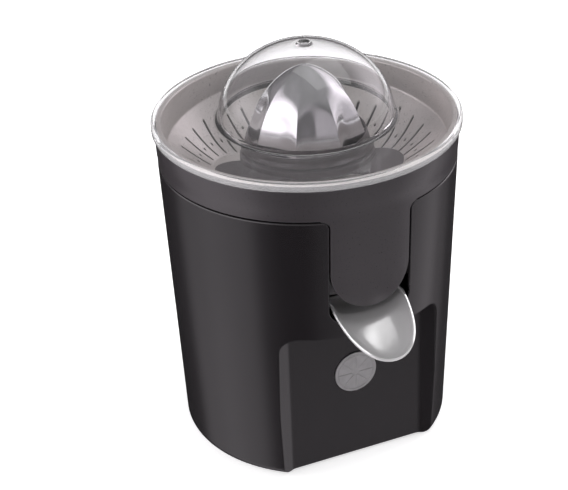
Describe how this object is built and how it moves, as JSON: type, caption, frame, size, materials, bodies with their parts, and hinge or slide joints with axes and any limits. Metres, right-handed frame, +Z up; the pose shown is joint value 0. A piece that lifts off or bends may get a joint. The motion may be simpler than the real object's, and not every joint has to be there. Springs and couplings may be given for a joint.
{
  "type": "citrus press juicer",
  "caption": "Electric citrus press: tapered housing with a glass alcove, lift-off juice collector with a tipping spout, strainer, ribbed cone, pulp sweeper and clear domed lid.",
  "frame": {"origin": "bottom centre of the bounding box, under the feet; the drive axis is 13.5 mm behind it", "axes": "+Z up along the drive axis, -Y out of the spout and the glass alcove, +X to the user's right as they face the spout"},
  "size_m": [0.19, 0.217, 0.2617],
  "materials": {
    "clear_lid": "clear, polished",
    "polished_steel": "mirror polished",
    "strainer_steel": "satin",
    "charcoal_body": "satin metallic charcoal",
    "dark_plastic": "satin",
    "pale_badge": "satin",
    "white_nylon": "moulded",
    "black_rubber": "matt",
    "brass": "machined",
    "plain_steel": "machined",
    "copper_winding": "enamelled wire",
    "ferrite": "sintered",
    "lamination": "varnished sheet stack"
  },
  "bodies": {
    "housing": {"housing": "charcoal_body", "front_badge": "pale_badge", "motor_deck": "dark_plastic", "shaft_seal": "black_rubber", "base_plate": "dark_plastic", "foot_1": "black_rubber", "foot_2": "black_rubber", "foot_3": "black_rubber", "foot_4": "black_rubber", "base_screw_1": "plain_steel", "base_screw_2": "plain_steel", "base_screw_3": "plain_steel", "base_screw_4": "plain_steel", "cord_gland": "black_rubber", "gearbox_base": "dark_plastic", "gearbox_screw_1": "plain_steel", "gearbox_screw_2": "plain_steel", "gearbox_screw_3": "plain_steel", "gear_axle": "plain_steel", "upper_bush": "brass", "lower_bush": "brass", "stator_core": "lamination", "coil_1": "copper_winding", "coil_2": "copper_winding", "motor_bracket_upper": "plain_steel", "motor_bracket_lower": "plain_steel", "motor_screw_1": "plain_steel", "motor_screw_2": "plain_steel", "return_spring": "plain_steel", "switch_body": "dark_plastic"},
    "collector": {"juice_collector": "dark_plastic", "outlet_seal": "black_rubber", "spout_pin": "plain_steel"},
    "spout": {"spout": "polished_steel"},
    "strainer": {"strainer": "strainer_steel"},
    "lid": {"lid": "clear_lid"},
    "sweeper": {"pulp_sweeper": "dark_plastic"},
    "cone": {"reaming_cone": "polished_steel", "cone_hub": "dark_plastic"},
    "thrust": {"thrust_cup": "white_nylon"},
    "shaft": {"drive_shaft": "plain_steel", "output_gear": "white_nylon"},
    "compound": {"compound_gear": "white_nylon"},
    "rotor": {"rotor_shaft": "plain_steel", "rotor_magnet": "ferrite", "motor_pinion": "brass"},
    "button": {"switch_button": "white_nylon"}
  },
  "joints": [
    {"name": "collector_lift", "type": "slide", "parent": "housing", "child": "collector", "axis": [0, 0, 1], "range_m": [0, 0.12]},
    {"name": "spout_tip", "type": "hinge", "parent": "collector", "child": "spout", "pos_m": [0, -0.04999, 0.127], "axis": [-1, 0, 0], "range_deg": [0, 20]},
    {"name": "strainer_lift", "type": "slide", "parent": "collector", "child": "strainer", "axis": [0, 0, 1], "range_m": [0, 0.1]},
    {"name": "lid_lift", "type": "slide", "parent": "strainer", "child": "lid", "axis": [0, 0, 1], "range_m": [0, 0.1]},
    {"name": "sweeper_spin", "type": "hinge", "parent": "strainer", "child": "sweeper", "pos_m": [0, 0.01351, 0.19], "axis": [0, 0, 1], "continuous": true},
    {"name": "cone_press", "type": "slide", "parent": "sweeper", "child": "cone", "axis": [0, 0, 1], "range_m": [-0.002, 0]},
    {"name": "press", "type": "slide", "parent": "housing", "child": "thrust", "axis": [0, 0, 1], "range_m": [-0.002, 0], "stiffness_N_per_m": 4000, "springref_m": 0.0015, "deforming": ["return_spring"]},
    {"name": "shaft_spin", "type": "hinge", "parent": "thrust", "child": "shaft", "pos_m": [0, 0.01351, 0.1], "axis": [0, 0, 1], "continuous": true},
    {"name": "compound_spin", "type": "hinge", "parent": "housing", "child": "compound", "pos_m": [0.00092, 0.04949, 0.09], "axis": [0, 0, 1], "continuous": true},
    {"name": "rotor_spin", "type": "hinge", "parent": "housing", "child": "rotor", "pos_m": [-0.024, 0.05151, 0.07], "axis": [0, 0, 1], "continuous": true},
    {"name": "switch_press", "type": "slide", "parent": "housing", "child": "button", "axis": [0, 0, 1], "range_m": [-0.002, 0]}
  ],
  "couplings": [
    {"joint": "sweeper_spin", "follows": "shaft_spin", "ratio": 1},
    {"joint": "cone_press", "follows": "press", "ratio": 1},
    {"joint": "compound_spin", "follows": "shaft_spin", "ratio": -4},
    {"joint": "rotor_spin", "follows": "shaft_spin", "ratio": 16},
    {"joint": "switch_press", "follows": "press", "ratio": 1}
  ]
}
